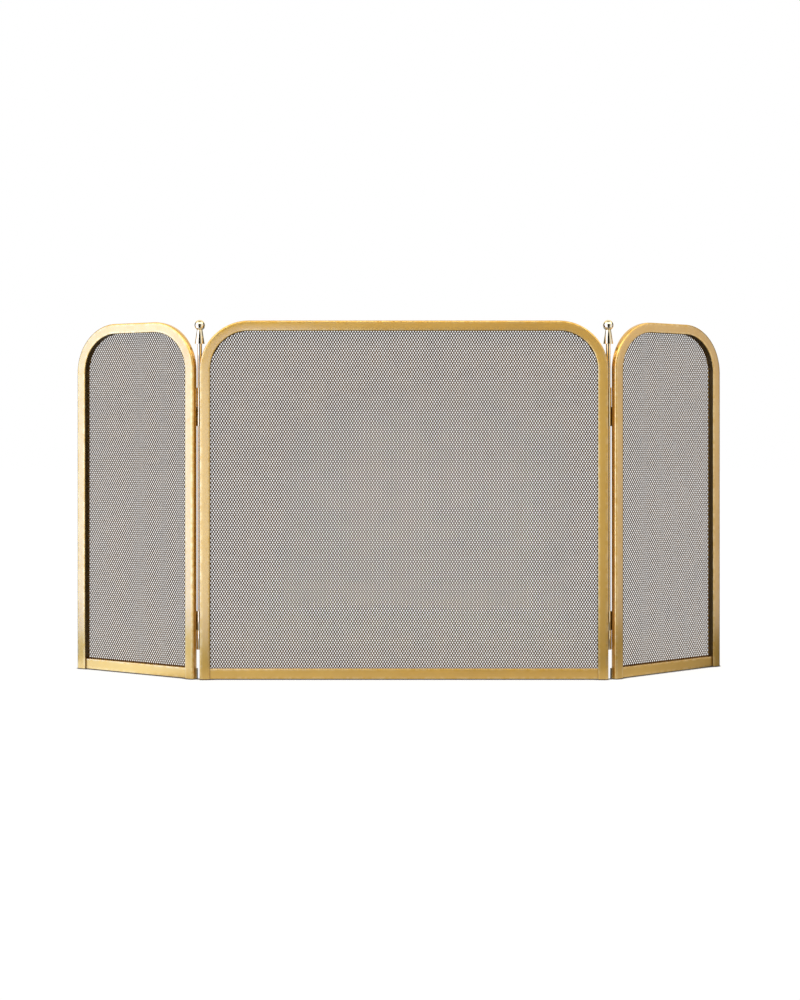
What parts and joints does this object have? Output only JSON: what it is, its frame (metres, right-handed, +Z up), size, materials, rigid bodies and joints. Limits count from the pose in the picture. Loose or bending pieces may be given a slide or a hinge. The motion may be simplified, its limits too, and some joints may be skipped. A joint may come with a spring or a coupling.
{
  "type": "folding fireplace screen",
  "caption": "Free-standing folding fireplace screen: arched tube-framed panels with diamond wire net, joined by hinges with lift-out finial rods.",
  "frame": {"origin": "middle of the folded screen's footprint, on the hearth", "axes": "+X to the viewer's right along the centre panel, +Y from the front to the back, +Z up"},
  "size_m": [1.4346, 0.1984, 0.7645],
  "materials": {
    "satin_brass": "satin brushed brass plate",
    "polished_brass": "mirror-polished brass",
    "net_wire": "dull bronzed steel wire",
    "glide_rubber": "matt black"
  },
  "bodies": {
    "centre_panel": {"centre_frame": "satin_brass", "centre_bottom_rail": "satin_brass", "centre_net": "net_wire", "centre_net_strip": "satin_brass", "centre_strip_screws": "polished_brass", "centre_left_glide": "glide_rubber", "centre_right_glide": "glide_rubber", "centre_left_upper_leaf": "polished_brass", "centre_left_lower_leaf": "polished_brass", "centre_right_upper_leaf": "polished_brass", "centre_right_lower_leaf": "polished_brass", "centre_hinge_screws": "polished_brass", "left_upper_washer": "polished_brass", "left_lower_washer": "polished_brass", "right_upper_washer": "polished_brass", "right_lower_washer": "polished_brass"},
    "left_wing": {"left_wing_frame": "satin_brass", "left_wing_bottom_rail": "satin_brass", "left_wing_net": "net_wire", "left_wing_net_strip": "satin_brass", "left_wing_strip_screws": "polished_brass", "left_wing_inner_glide": "glide_rubber", "left_wing_outer_glide": "glide_rubber", "left_wing_upper_leaf": "polished_brass", "left_wing_lower_leaf": "polished_brass", "left_wing_hinge_screws": "polished_brass"},
    "right_wing": {"right_wing_frame": "satin_brass", "right_wing_bottom_rail": "satin_brass", "right_wing_net": "net_wire", "right_wing_net_strip": "satin_brass", "right_wing_strip_screws": "polished_brass", "right_wing_inner_glide": "glide_rubber", "right_wing_outer_glide": "glide_rubber", "right_wing_upper_leaf": "polished_brass", "right_wing_lower_leaf": "polished_brass", "right_wing_hinge_screws": "polished_brass"},
    "left_rod": {"left_hinge_rod": "polished_brass", "left_finial_skirt": "polished_brass", "left_finial_ball": "polished_brass"},
    "right_rod": {"right_hinge_rod": "polished_brass", "right_finial_skirt": "polished_brass", "right_finial_ball": "polished_brass"}
  },
  "joints": [
    {"name": "left_wing_hinge", "type": "hinge", "parent": "centre_panel", "child": "left_wing", "pos_m": [-0.42715, -0.07769, 0.341], "axis": [0, 0, -1], "range_deg": [-37, 152]},
    {"name": "right_wing_hinge", "type": "hinge", "parent": "centre_panel", "child": "right_wing", "pos_m": [0.44385, -0.07769, 0.341], "axis": [0, 0, 1], "range_deg": [-43.5, 145.5]},
    {"name": "left_rod_lift", "type": "slide", "parent": "centre_panel", "child": "left_rod", "axis": [0, 0, 1], "range_m": [0, 0.56]},
    {"name": "right_rod_lift", "type": "slide", "parent": "centre_panel", "child": "right_rod", "axis": [0, 0, 1], "range_m": [0, 0.56]}
  ]
}
